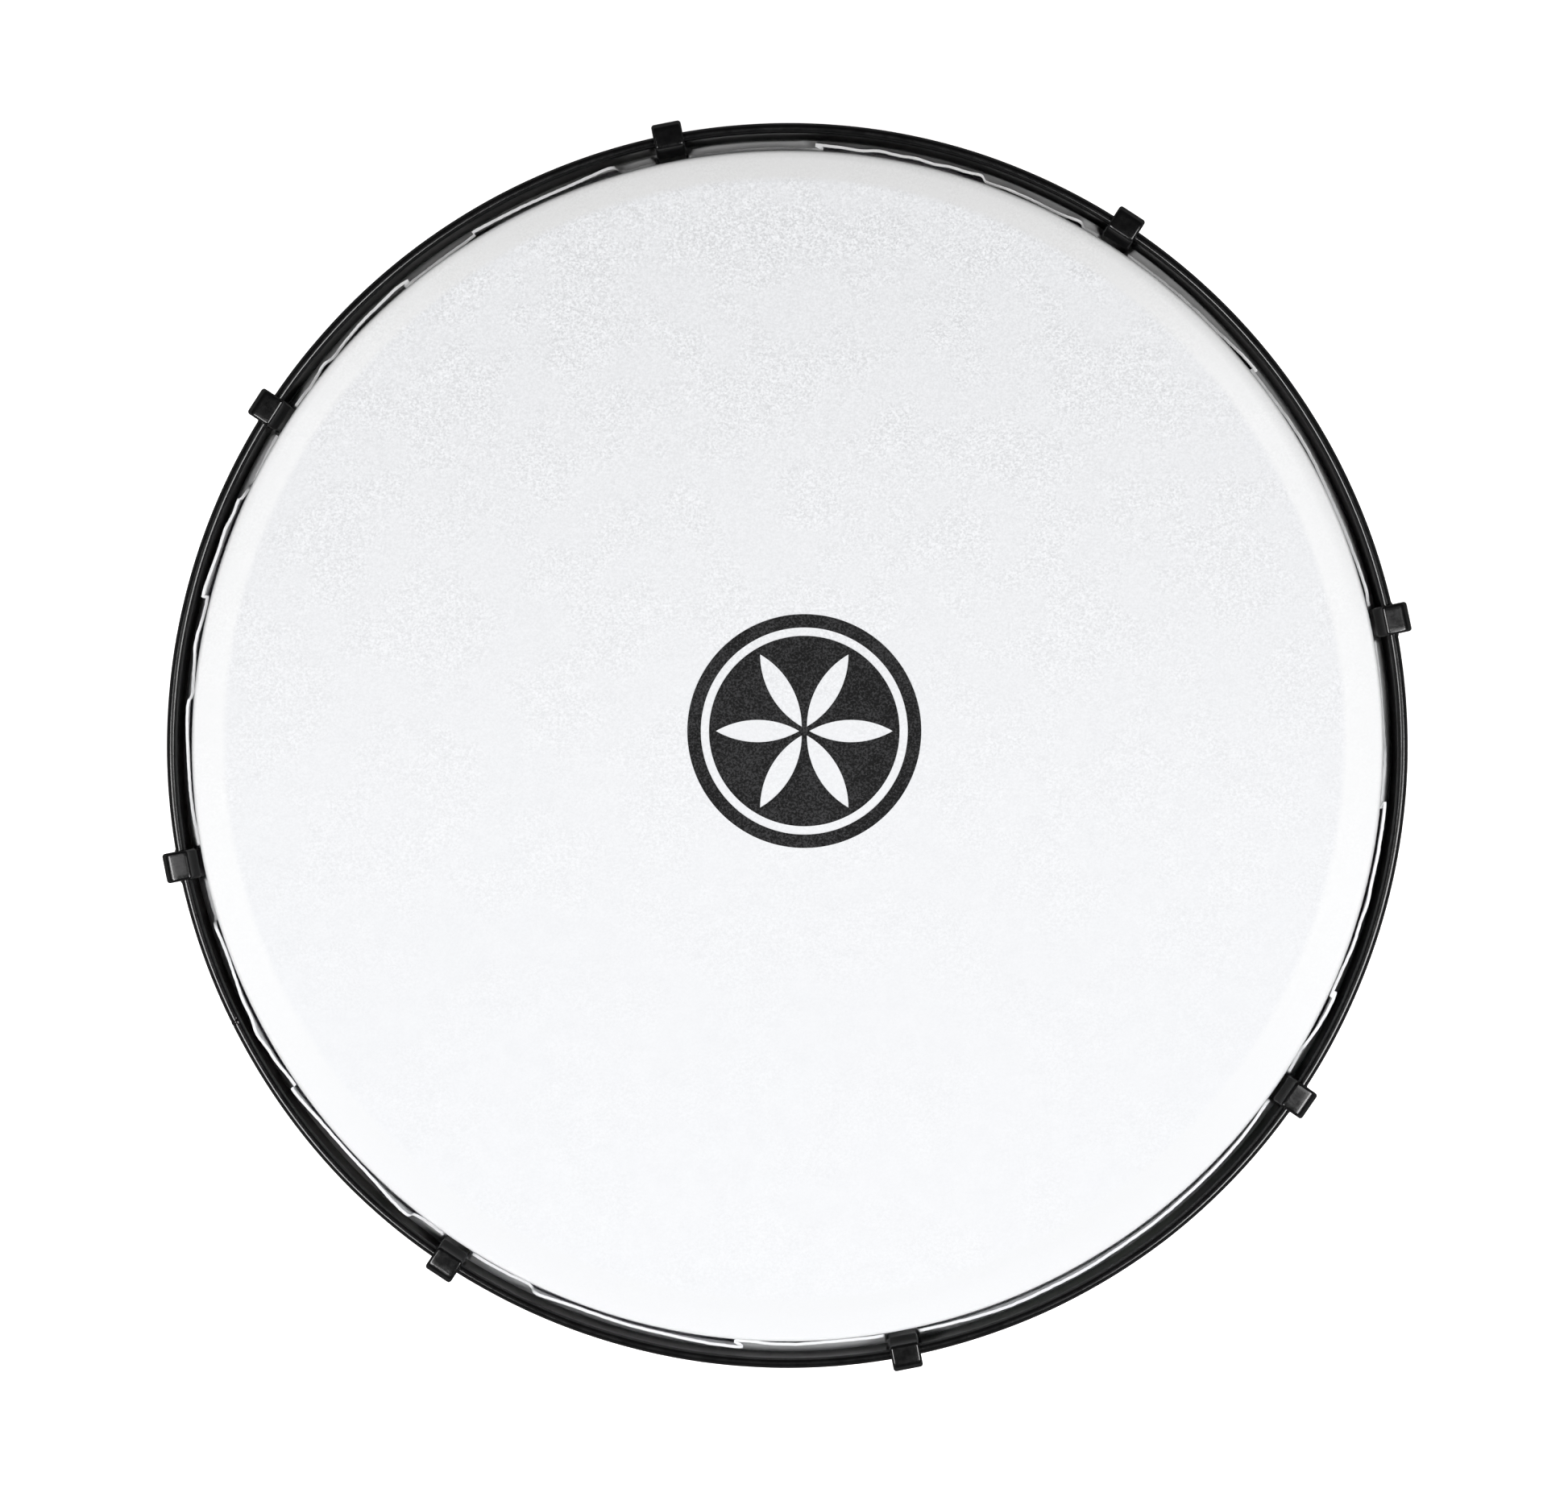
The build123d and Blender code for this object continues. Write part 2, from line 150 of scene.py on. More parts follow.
def normals_2d(line, closed=False):
    """Unit normals to the left of a line of (r, z) points."""
    found = []
    last = len(line) - 1
    for i in range(len(line)):
        before = line[i - 1] if i or closed else line[0]
        after = line[(i + 1) % len(line)] if i < last or closed else line[last]
        dr, dz = after[0] - before[0], after[1] - before[1]
        size = hypot(dr, dz) or 1.0
        found.append((-dz / size, dr / size))
    return found


# ---------------------------------------------------------------- materials


class Nodes:
    """Short ways to add nodes to a material's or the world's tree."""

    def __init__(self, tree, place):
        self.tree = tree
        self.place = self.add("ShaderNodeTexCoord").outputs[place]

    def add(self, kind, **settings):
        node = self.tree.nodes.new(kind)
        for key, value in settings.items():
            setattr(node, key, value)
        return node

    def feed(self, socket, value):
        """Links an output to a socket, or sets the socket to a plain value."""
        if isinstance(value, bpy.types.NodeSocket):
            self.tree.links.new(value, socket)
        else:
            socket.default_value = value

    def math(self, operation, a, b=0.0, c=0.0):
        node = self.add("ShaderNodeMath", operation=operation)
        for socket, value in zip(node.inputs, (a, b, c)):
            self.feed(socket, value)
        return node.outputs[0]

    def scaled(self, factors, source=None):
        """The place multiplied along each axis."""
        node = self.add("ShaderNodeVectorMath", operation="MULTIPLY")
        self.feed(node.inputs[0], source or self.place)
        node.inputs[1].default_value = factors
        return node.outputs[0]

    def noise(self, scale, detail=3.0, rough=0.5, source=None, distortion=0.0):
        """Noise with a scale per metre."""
        node = self.add("ShaderNodeTexNoise")
        self.feed(node.inputs["Vector"], source or self.place)
        settings = {"Scale": scale, "Detail": detail, "Roughness": rough, "Distortion": distortion}
        for socket, value in settings.items():
            node.inputs[socket].default_value = value
        return node.outputs["Fac"]

    def span(self, value, low, high, to_low=0.0, to_high=1.0, kind="LINEAR"):
        """A value mapped from one range to another, and held at its ends."""
        node = self.add("ShaderNodeMapRange", interpolation_type=kind)
        for socket, number in zip(node.inputs, (value, low, high, to_low, to_high)):
            self.feed(socket, number)
        return node.outputs[0]

    def mix(self, share, a, b, blend="MIX"):
        """Two colours mixed, each a plain (r, g, b) or an output."""
        node = self.add("ShaderNodeMix", data_type="RGBA", blend_type=blend)
        self.feed(node.inputs[0], share)
        for socket, value in ((node.inputs[6], a), (node.inputs[7], b)):
            self.feed(socket, value if isinstance(value, bpy.types.NodeSocket) else (*value, 1.0))
        return node.outputs[2]

    def split(self, source=None):
        node = self.add("ShaderNodeSeparateXYZ")
        self.feed(node.inputs[0], source or self.place)
        return node.outputs

    def join(self, x, y, z):
        node = self.add("ShaderNodeCombineXYZ")
        for socket, value in zip(node.inputs, (x, y, z)):
            self.feed(socket, value)
        return node.outputs[0]

    def radius(self, centre=(0.0, 0.0)):
        """Distance from an upright axis."""
        x, y, _ = self.split()
        dx, dy = self.math("SUBTRACT", x, centre[0]), self.math("SUBTRACT", y, centre[1])
        square = self.math("MULTIPLY_ADD", dx, dx, self.math("MULTIPLY", dy, dy))
        return self.math("SQRT", square)

    def shader_mix(self, share, a, b):
        """The shader a where share is 0 and b where it is 1."""
        node = self.add("ShaderNodeMixShader")
        for socket, value in zip(node.inputs, (share, a, b)):
            self.feed(socket, value)
        return node.outputs[0]


class Surface(Nodes):
    """A material with a Principled shader."""

    def __init__(self, name, **fixed):
        self.material = bpy.data.materials.new(name)
        self.material.use_nodes = True
        super().__init__(self.material.node_tree, "Object")
        self.shader = self.tree.nodes["Principled BSDF"]
        for socket, value in fixed.items():
            self.shader.inputs[socket.replace("_", " ")].default_value = value

    def set(self, **sockets):
        for socket, value in sockets.items():
            self.feed(self.shader.inputs[socket.replace("_", " ")], value)

    def bump(self, height, distance, strength=1.0):
        """Adds relief: height in the texture, distance in metres."""
        node = self.add("ShaderNodeBump")
        node.inputs["Strength"].default_value = strength
        node.inputs["Distance"].default_value = distance
        self.feed(node.inputs["Height"], height)
        links = self.shader.inputs["Normal"].links
        if links:
            self.feed(node.inputs["Normal"], links[0].from_socket)
        self.feed(self.shader.inputs["Normal"], node.outputs["Normal"])


# The goatskin's tones: the field's range and the painted shade at its top, then the band that lies on the
# shell's edge
FIELD_TONES = ((0.822, 0.830, 0.849), (0.848, 0.856, 0.874))
# painted shade: the field darker toward the top, where less light falls
FIELD_TOP_SHADE_TONE = (0.790, 0.798, 0.816)
BAND_TONES = ((0.886, 0.890, 0.896), (0.900, 0.904, 0.910))
# painted shade: the band darker toward the top, where less light falls
BAND_TOP_SHADE_TONE = (0.745, 0.745, 0.745)
# painted: the band a little darker toward the bottom, holding back the light that falls strongest there
BAND_BOTTOM_DIMMED_TONE = (0.830, 0.836, 0.850)
# painted shade: the skin darker at its rim toward the top, where the falling edge turns from the light
RIM_SHADE_TONE = (0.585, 0.585, 0.585)

# Where each comes in: the field's painted shade, the grain's painted washout and the band's and the rim's
# painted shade change by y, and the band and the rim by distance out
# painted washout: the grain's speckle fades toward the bottom, where strong light washes it out; the relief
# follows it
GRAIN_WASHOUT_Y = (-0.08, 0.15)
FIELD_TOP_SHADE_Y = (-0.02, 0.172)
BAND_TOP_SHADE_Y = (0.09, 0.176)
BAND_BOTTOM_DIMMED_Y = (-0.16, -0.03)
RIM_SHADE_Y = (0.03, 0.175)
BAND_CENTRE = (-0.95 * MM, 2.05 * MM)
BAND_R = (166.4 * MM, 169.0 * MM)
RIM_SHADE_R = (173.6 * MM, 177.0 * MM)

GRAIN_TONE = 0.21
GRAIN_DEPTH = 0.30 * MM
PORE_DEPTH = 0.06 * MM


def goatskin():
    """Bleached goatskin: cool white, with fine pebbled grain in patches. Toward the bottom its relief is
    shallower and its speckle painted fainter, as strong light washes it out; painted shade darkens its top and
    rim.
    """
    skin = Surface("goatskin", IOR=1.45)
    cloud = skin.noise(42.0, 5.0, 0.62)
    patch = skin.noise(160.0, 4.0, 0.62)
    grain = skin.noise(1350.0, 2.0, 0.55, distortion=0.5)
    pores = skin.noise(2100.0, 2.0, 0.5)
    _, y, _ = skin.split()
    out = skin.radius(BAND_CENTRE)
    on_wood = skin.span(out, *BAND_R, kind="SMOOTHSTEP")

    # painted washout: the grain's speckle fades toward the bottom, where strong light washes it out; the relief
    # follows it
    washout_and_relief = skin.span(y, *GRAIN_WASHOUT_Y, 0.22, 1.2)
    patchy = skin.span(cloud, 0.40, 0.60, 0.5, 1.3, "SMOOTHSTEP")
    pebbled = skin.math("MULTIPLY", washout_and_relief, patchy)
    fade = skin.math("SUBTRACT", 1.0, skin.math("MULTIPLY", on_wood, 0.7))
    pebbled = skin.math("MULTIPLY", pebbled, fade)

    field = skin.mix(skin.span(patch, 0.3, 0.7), *FIELD_TONES)
    # painted shade: the field darker toward the top, where less light falls
    field = skin.mix(skin.span(y, *FIELD_TOP_SHADE_Y), field, FIELD_TOP_SHADE_TONE)
    band = skin.mix(skin.span(patch, 0.35, 0.65), *BAND_TONES)
    # painted shade: the band darker toward the top, where less light falls
    band = skin.mix(skin.span(y, *BAND_TOP_SHADE_Y, kind="SMOOTHSTEP"), band, BAND_TOP_SHADE_TONE)
    # painted: the band a little darker toward the bottom, holding back the light that falls strongest there
    band = skin.mix(skin.span(y, *BAND_BOTTOM_DIMMED_Y, 1.0, 0.0, "SMOOTHSTEP"), band, BAND_BOTTOM_DIMMED_TONE)
    # painted shade at the rim, strongest toward the top
    rim = skin.math("MULTIPLY", skin.span(out, *RIM_SHADE_R), skin.span(y, *RIM_SHADE_Y))
    band = skin.mix(rim, band, RIM_SHADE_TONE)
    colour = skin.mix(on_wood, field, band)

    # the speckle carries the painted washout toward the bottom
    speck_share = skin.math("MULTIPLY", pebbled, GRAIN_TONE)
    speck = skin.math("MULTIPLY", skin.span(grain, 0.34, 0.66, -0.5, 0.5), speck_share)
    tone = skin.math("ADD", 1.0, speck)
    skin.set(Base_Color=skin.mix(1.0, colour, skin.join(tone, tone, tone), "MULTIPLY"))
    skin.set(Roughness=skin.span(patch, 0.3, 0.7, 0.52, 0.66))
    skin.bump(skin.math("MULTIPLY", grain, pebbled), GRAIN_DEPTH, 0.5)
    skin.bump(skin.math("MULTIPLY", pores, pebbled), PORE_DEPTH, 0.5)
    skin.shader.inputs["Specular IOR Level"].default_value = 0.3
    return skin.material


def black_steel():
    """Black powder coat with faint orange peel, its gloss varying in patches as fine dust makes it."""
    coat = Surface("black_steel", IOR=1.5)
    peel = coat.noise(1300.0, 2.0, 0.5)
    dust = coat.noise(300.0, 5.0, 0.7)
    base = coat.mix(coat.span(dust, 0.35, 0.75), (0.0022, 0.0022, 0.0024), (0.0045, 0.0045, 0.0047))
    coat.set(Base_Color=base)
    coat.set(Roughness=coat.span(dust, 0.3, 0.7, 0.15, 0.25))
    coat.bump(peel, 0.035 * MM, 0.35)
    return coat.material


def zinc_steel():
    """Zinc-plated steel, slightly clouded."""
    zinc = Surface("zinc_steel", Metallic=1.0)
    cloud = zinc.noise(260.0, 5.0, 0.65)
    fine = zinc.noise(2600.0, 2.0, 0.5)
    zinc.set(Base_Color=zinc.mix(zinc.span(cloud, 0.3, 0.7), (0.47, 0.47, 0.48), (0.66, 0.66, 0.675)))
    zinc.set(Roughness=zinc.span(cloud, 0.3, 0.7, 0.24, 0.42))
    zinc.bump(fine, 0.02 * MM, 0.4)
    return zinc.material


def black_ink():
    """Matt printing ink that lies on the grain, worn thin on its high spots."""
    ink = Surface("black_ink", IOR=1.45)
    grain = ink.noise(1500.0, 2.0, 0.55, distortion=0.6)
    cloud = ink.noise(120.0, 4.0, 0.6)
    level = ink.math("MULTIPLY_ADD", ink.math("SUBTRACT", cloud, 0.5), 0.25, grain)
    thin = ink.span(level, 0.40, 0.68, 0.0, 1.0, "SMOOTHSTEP")
    ink.set(Base_Color=ink.mix(thin, (0.0025, 0.0025, 0.0027), (0.045, 0.045, 0.047)))
    ink.set(Roughness=ink.span(grain, 0.3, 0.7, 0.62, 0.8))
    ink.bump(grain, 0.1 * MM, 0.5)
    ink.shader.inputs["Specular IOR Level"].default_value = 0.2
    return ink.material


SHELL_WALL = 10.0 * MM
PLY = 2.0 * MM
GLUE_SHARE = 0.06


def darker(colour, share):
    return [share * c for c in colour]


def grain_place(timber, along):
    """Coordinates whose first axis runs along the grain: round the shell, or along x or y."""
    if along == "x":
        return timber.place
    x, y, z = timber.split()
    if along == "y":
        return timber.join(y, x, z)
    turn = timber.math("ARCTAN2", y, x)
    return timber.join(timber.math("MULTIPLY", turn, SHELL_R), z, timber.radius())


def glue_lines(timber):
    """1 on the glue between the shell's plies, which its flat rim shows, and 0 elsewhere."""
    depth = timber.math("SUBTRACT", timber.radius(), SHELL_R - SHELL_WALL)
    ply = timber.math("FRACT", timber.math("DIVIDE", depth, PLY))
    off_middle = timber.math("ABSOLUTE", timber.math("SUBTRACT", ply, 0.5))
    ply_only = timber.math("LESS_THAN", off_middle, 0.5 - GLUE_SHARE)
    past_inner = timber.span(depth, 0.25 * MM, 0.35 * MM)
    short_of_outer = timber.span(depth, 9.65 * MM, 9.75 * MM, 1.0, 0.0)
    inside = timber.math("MULTIPLY", past_inner, short_of_outer)
    return timber.math("MULTIPLY", timber.math("SUBTRACT", 1.0, ply_only), inside)


def wood(name, dark, light, along, rough, gloss=0.0):
    """Wood with growth lines, fibres and pores. Its grain runs along "hoop", "x" or "y"."""
    timber = Surface(name, IOR=1.5)
    place = grain_place(timber, along)
    drift = timber.noise(9.0, 2.0, 0.5, timber.scaled((1.0, 6.0, 6.0), place))
    rings = timber.noise(2.0, 4.0, 0.55, timber.scaled((1.6, 46.0, 60.0), place), 0.8)
    fibres = timber.noise(30.0, 4.0, 0.6, timber.scaled((1.0, 38.0, 38.0), place))
    pores = timber.noise(60.0, 2.0, 0.5, timber.scaled((1.0, 30.0, 30.0), place))
    growth = timber.math("SINE", timber.math("MULTIPLY", rings, 150.0))
    pore = timber.span(pores, 0.62, 0.72, 0.0, 0.55)
    colour = timber.mix(timber.span(rings, 0.34, 0.66), dark, light)
    colour = timber.mix(timber.span(growth, -0.2, 1.0, 0.0, 0.42), colour, darker(dark, 0.6))
    colour = timber.mix(timber.span(fibres, 0.3, 0.7, 0.0, 0.55), colour, darker(dark, 0.62))
    colour = timber.mix(pore, colour, darker(dark, 0.4))
    colour = timber.mix(timber.span(drift, 0.3, 0.7, 0.0, 0.35), colour, light, "SOFT_LIGHT")
    if along == "hoop":
        colour = timber.mix(timber.math("MULTIPLY", glue_lines(timber), 0.75), colour, darker(dark, 0.3))
    timber.set(Base_Color=colour)
    timber.set(Roughness=timber.span(fibres, 0.3, 0.7, rough, rough + 0.12))
    timber.shader.inputs["Coat Weight"].default_value = gloss
    timber.shader.inputs["Coat Roughness"].default_value = 0.22
    timber.bump(fibres, 0.08 * MM, 0.35)
    timber.bump(pore, 0.06 * MM, -0.5)
    return timber.material


SKIN_LOOK = goatskin()
STEEL_LOOK = black_steel()
ZINC_LOOK = zinc_steel()
INK_LOOK = black_ink()
SHELL_LOOK = wood("shell_wood", (0.17, 0.062, 0.026), (0.33, 0.135, 0.055), "hoop", 0.38, 0.35)
BAR_TONES = ((0.36, 0.20, 0.095), (0.60, 0.39, 0.21))
BAR_LOOKS = {
    "crossbar_lower": wood("bar_wood_x", *BAR_TONES, "x", 0.5),
    "crossbar_upper": wood("bar_wood_y", *BAR_TONES, "y", 0.5),
}


# ---------------------------------------------------------------- goatskin

HEAD_FALL_FROM = 168.0 * MM
HEAD_FALL_SLOPE = 7.0
HEAD_ROLL_R = 1.5 * MM
COLLAR_TURN_Z = 84.0 * MM
HEAD_COLUMNS = 480
FIELD_STEPS = 48
FALL_STEPS = 7
COLLAR_STEPS = 8
PUCKER = 0.35 * MM
PUCKER_TOP_Z = 89 * MM
PUCKER_FADE = 8 * MM
UNEVEN = 0.035 * MM
UNEVEN_FADE = 12 * MM


def head_outer_line():
    """The skin's outer face from near the middle, over the bearing edge and down to the flesh hoop."""
    slope = radians(HEAD_FALL_SLOPE)
    roll_r = HEAD_R - HEAD_ROLL_R
    run = roll_r + HEAD_ROLL_R * sin(slope) - HEAD_FALL_FROM
    fall = sin(slope) / cos(slope) * run / 2
    roll_z = HEAD_Z - fall - HEAD_ROLL_R * cos(slope)
    line = [(HEAD_FALL_FROM * i / FIELD_STEPS, HEAD_Z) for i in range(1, FIELD_STEPS + 1)]
    for i in range(1, FALL_STEPS):
        line.append((HEAD_FALL_FROM + run * i / FALL_STEPS, HEAD_Z - fall * (i / FALL_STEPS) ** 2))
    line += arc((roll_r, roll_z), HEAD_ROLL_R, 90 - HEAD_FALL_SLOPE, 0, 14)
    line += [(HEAD_R, lerp(roll_z, COLLAR_TURN_Z, i / 6)) for i in range(1, 6)]
    return line + straight((HEAD_R, COLLAR_TURN_Z), (WIRE_RING_R - WIRE_R, WIRE_Z), COLLAR_STEPS)


def head_inner_line():
    """The skin's inner face, from the flesh hoop up the shell's side and under the head."""
    edge_r, edge_z = SHELL_R - BEARING_R, HEAD_Z - SKIN - BEARING_R
    foot_r = WIRE_RING_R - WIRE_R - SKIN
    line = straight((foot_r, WIRE_Z), (SHELL_R, COLLAR_TURN_Z), COLLAR_STEPS)
    line += [(SHELL_R, lerp(COLLAR_TURN_Z, edge_z, i / 4)) for i in range(1, 4)]
    line += arc((edge_r, edge_z), BEARING_R, 0, 90, 8)
    line += [(edge_r * (1 - i / 24), HEAD_Z - SKIN) for i in range(1, 24)]
    return line


def head_skin():
    """The playing surface and the collar that the hoop draws down, as one sheet."""
    outer, inner = head_outer_line(), head_inner_line()
    points = []
    for i in range(HEAD_COLUMNS):
        degree = 360 * i / HEAD_COLUMNS
        around = Vector(on_drum(degree, 1.0, 0.0))
        for r, z in outer:
            x, y = r * around.x, r * around.y
            hide = wobble(x * 31, y * 31) + 0.5 * wobble(x * 90, y * 90, 5)
            low = smooth((PUCKER_TOP_Z - z) / PUCKER_FADE)
            pucker = abs(wobble(around.x * 55, around.y * 55, z * 60)) * PUCKER * low
            lift = UNEVEN * (hide - 1.3) * smooth((HEAD_FALL_FROM - r) / UNEVEN_FADE)
            points.append(on_drum(degree, r + pucker, z + lift))
        for r, z in inner:
            points.append(on_drum(degree, r, z))
    rows = len(outer) + len(inner)
    faces = loop_faces(HEAD_COLUMNS, rows, closed_rows=False)
    top, under = len(points), len(points) + 1
    points += [(0, 0, HEAD_Z - 0.04 * MM), (0, 0, HEAD_Z - SKIN)]
    for i in range(HEAD_COLUMNS):
        a, b = i * rows, (i + 1) % HEAD_COLUMNS * rows
        faces.append((top, b, a))
        faces.append((under, a + rows - 1, b + rows - 1))
    skin = make_piece("head_skin", points, faces, SKIN_LOOK, 60)
    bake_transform(skin)
    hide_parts("goatskin_head", "goatskin_collar")


# The trimmed edge, run by run round the drum: first and last degree, height of the top edge in millimetres, and
# how far it stands out from TOUCHING_R at even steps, in millimetres before EDGE_SPREAD scales it. A run that
# starts before the last one has ended makes a pleat of three layers.
EDGE_RUNS = [
    (0.4, 9.6, 87.2, (0.8, 0.4, 0.5, 0.7)),
    (14.1, 14.6, 89.5, (0.9,)),
    (14.8, 39.7, 92.2, (1.0, 0.45, 0.2, 0.1, 0.35, 0.6, 0.3, 0.0, 0.0)),
    (38.1, 54.8, 92.0, (1.5, 1.0, 0.1, 0.1, 0.05, 0.0, 0.0)),
    (59.3, 60.4, 90.0, (0.5, 0.1)),
    (60.6, 70.8, 92.3, (1.6, 0.2, 0.3, 0.5, 0.6, 0.1)),
    (71.0, 87.9, 92.7, (2.2, 1.4, 1.65, 0.85, 1.75, 1.1, 2.0, 0.8, 1.3, 1.5, 1.9)),
    (86.0, 88.2, 91.6, (0.1, 0.05)),
    (89.0, 98.9, 88.2, (0.8, 1.0, 0.7, 0.6)),
    (103.4, 106.2, 87.0, (0.9, 0.5)),
    (106.6, 121.9, 92.5, (3.0, 2.3, 1.6, 1.3, 1.3, 1.4, 1.5, 1.7, 2.1)),
    (121.1, 130.2, 92.0, (0.9, 0.35, 0.25, 0.1, 0.0, 0.1, 0.3)),
    (128.8, 139.5, 92.3, (1.2, 2.0, 1.6, 1.5, 1.45, 1.1, 0.8, 0.0)),
    (140.5, 144.4, 92.0, (1.6, 0.6, 0.1, 0.4)),
    (149.6, 154.0, 87.6, (0.9, 0.5, 0.2)),
    (154.3, 155.9, 92.2, (0.0, 0.9)),
    (155.5, 166.2, 92.6, (1.9, 1.3, 2.2, 1.6, 1.9, 2.4, 2.5)),
    (165.1, 175.3, 92.2, (0.8, 0.4, 1.0, 1.75, 0.7, 0.4, 0.0)),
    (175.6, 188.6, 92.0, (1.8, 1.5, 1.0, 0.8, 0.7, 0.0)),
    (193.8, 196.9, 86.5, (1.0, 1.2, 0.8)),
    (197.2, 214.9, 92.5, (1.3, 0.6, 0.3, 0.6, 1.1, 1.7, 1.4, 2.8, 1.7, 1.6, 0.7, 0.2)),
    (214.3, 231.2, 92.5, (2.3, 1.7, 0.9, 0.7, 0.7, 0.8, 1.3, 2.2, 2.9)),
    (231.4, 234.3, 89.6, (0.7, 0.6)),
    (238.7, 244.7, 89.6, (0.8, 0.8, 0.7, 0.4)),
    (245.0, 266.3, 92.6, (2.5, 1.4, 1.0, 1.1, 1.35, 1.3, 1.45, 1.9, 2.2, 2.2)),
    (264.3, 266.9, 91.6, (0.1, 0.05)),
    (267.8, 278.7, 90.2, (0.8, 1.1, 0.6, 0.6, 0.7)),
    (283.2, 291.5, 90.4, (1.3, 1.6, 2.1, 2.4)),
    (291.9, 318.9, 91.0, (2.4, 2.1, 2.3, 1.9, 2.0, 1.7, 1.7, 1.4)),
    (319.2, 322.9, 92.0, (1.2, 0.9, 0.3)),
    (327.5, 329.3, 90.4, (0.7, 0.2)),
    (329.7, 336.3, 92.4, (0.1, 1.1, 1.6, 1.9, 1.4)),
    (334.6, 355.1, 92.4, (0.6, 0.3, 0.6, 1.3, 0.8, 1.7, 1.0, 1.3, 1.2, 1.3, 1.2)),
    (353.5, 359.4, 91.4, (0.1, 0.1, 0.5)),
]
TOUCHING_R = 179.13 * MM
EDGE_SPREAD = 0.84
FLAP_FOOT_R = 182.62 * MM
FLAP_FOOT_LOW_Z = 80.8 * MM
FLAP_FOOT_HIGH_Z = 85.0 * MM
FLAP_KNEE_R = 181.1 * MM
KNEE_BELOW_EDGE = 2.6 * MM
LEANING_KNEE_R = 182.1 * MM
LEANING_KNEE_Z = 87.2 * MM
LEANING_DEGREE = 76.0
LEANING_SPREAD = 48.0
LEANING_STEEPNESS = 1.6
FLAP_HALF = 0.42 * MM
EDGE_STEP = 0.84 * MM
SEAM_DEGREE = 0.2
SEAM_CORNERS = 12
FOOT_REACH = 6
FOOT_EVENED = 0.02
WRAP_START, WRAP_END, WRAP_STEPS = 178, 460, 16
WRAP_PLEAT = 0.28 * MM
PLEATED_ROWS = WRAP_STEPS - 2
THINNING_ROWS = 4
# Where the sheet leaves the wire for the hoop: how far inside the hoop's face, and how high
OFF_WIRE = ((0.36 * MM, 78.42 * MM), (0.06 * MM, 78.85 * MM))
FOOT_STEPS = 3
FLAP_STEPS = 8
FLAP_SWAY = 0.15 * MM
# Unevenness of the cut: (size, waves per metre, seed), out from the head and up
RAGGED_OUT = ((0.10 * MM, 420, 3.0), (0.07 * MM, 1150, 9.0))
RAGGED_UP = ((0.35 * MM, 260, 21.0), (0.2 * MM, 900, 35.0))

# The counter hoop's outline
HOOP_LARGER = 0.07 * MM
HOOP_OVAL = 0.28 * MM
HOOP_ASIDE = 0.08 * MM
HOOP_BULGES = [
    # at degree, height, spread in degrees
    (72.0, 0.22 * MM, 30.0),
    (227.0, 0.16 * MM, 12.0),
    (306.0, 0.28 * MM, 18.0),
]

# The notch cut under each claw, its widths in degrees each side of the hook's middle
NOTCH_R = 180.5 * MM
NOTCH_Z = 81.6 * MM
NOTCH_FLOOR_HALF = 1.35
NOTCH_HALF = 1.5
NOTCH_SHOULDER = 1.62
NOTCH_BESIDE = 1.9
NOTCH_FADE = 0.3


def edge_corners():
    """(degree, radius, height) of the trimmed edge's corners all round, notched down under each claw."""
    corners = []
    for start, end, height, offsets in EDGE_RUNS:
        steps = max(1, len(offsets) - 1)
        for i, offset in enumerate(offsets):
            corners.append((lerp(start, end, i / steps), TOUCHING_R + EDGE_SPREAD * offset * MM, height * MM))
    for hook in HOOK_DEGREES:
        before = [c for c in corners if c[0] < hook - NOTCH_BESIDE]
        after = [c for c in corners if c[0] > hook + NOTCH_BESIDE]
        left = [(hook - aside, *before[-1][1:]) for aside in (NOTCH_BESIDE, NOTCH_SHOULDER)]
        right = [(hook + aside, *after[0][1:]) for aside in (NOTCH_SHOULDER, NOTCH_BESIDE)]
        halves = (-NOTCH_HALF, -NOTCH_FLOOR_HALF, NOTCH_FLOOR_HALF, NOTCH_HALF)
        notch = [(hook + half, NOTCH_R, NOTCH_Z) for half in halves]
        corners = before + left + notch + right + after
    return corners


def rounded(corners, times):
    """A closed line with its corners cut again and again."""
    for _ in range(times):
        cut = []
        for i, a in enumerate(corners):
            b = corners[(i + 1) % len(corners)]
            cut += [a.lerp(b, 0.25), a.lerp(b, 0.75)]
        corners = cut
    return corners


def edge_line():
    """The trimmed edge unrolled: (distance round the drum, radius, height), pleats included."""
    around = radians(1) * FLAP_FOOT_R
    corners = [Vector((degree * around, r, z)) for degree, r, z in edge_corners()]
    lap = 360 * around
    once_round = Vector((lap, 0, 0))
    before = [c - once_round for c in corners[-SEAM_CORNERS:]]
    after = [c + once_round for c in corners[:SEAM_CORNERS]]
    line = rounded(before + corners + after, 2)
    seam = SEAM_DEGREE * around
    first = min(range(len(line)), key=lambda i: abs(line[i].x - seam))
    last = min(range(len(line)), key=lambda i: abs(line[i].x - seam - lap))
    ring = line[first:last]
    lengths = [(ring[i + 1] - ring[i]).length for i in range(len(ring) - 1)]
    lengths.append((ring[0] + once_round - ring[-1]).length)
    total = sum(lengths)
    count = ceil(total / EDGE_STEP)
    found, at, passed = [], 0, 0.0
    for i in range(count):
        want = total * i / count
        while passed + lengths[at] < want:
            passed += lengths[at]
            at += 1
        share = (want - passed) / max(lengths[at], 1e-12)
        ahead = ring[at + 1] if at + 1 < len(ring) else ring[0] + once_round
        found.append(ring[at].lerp(ahead, share))
    return found, lap


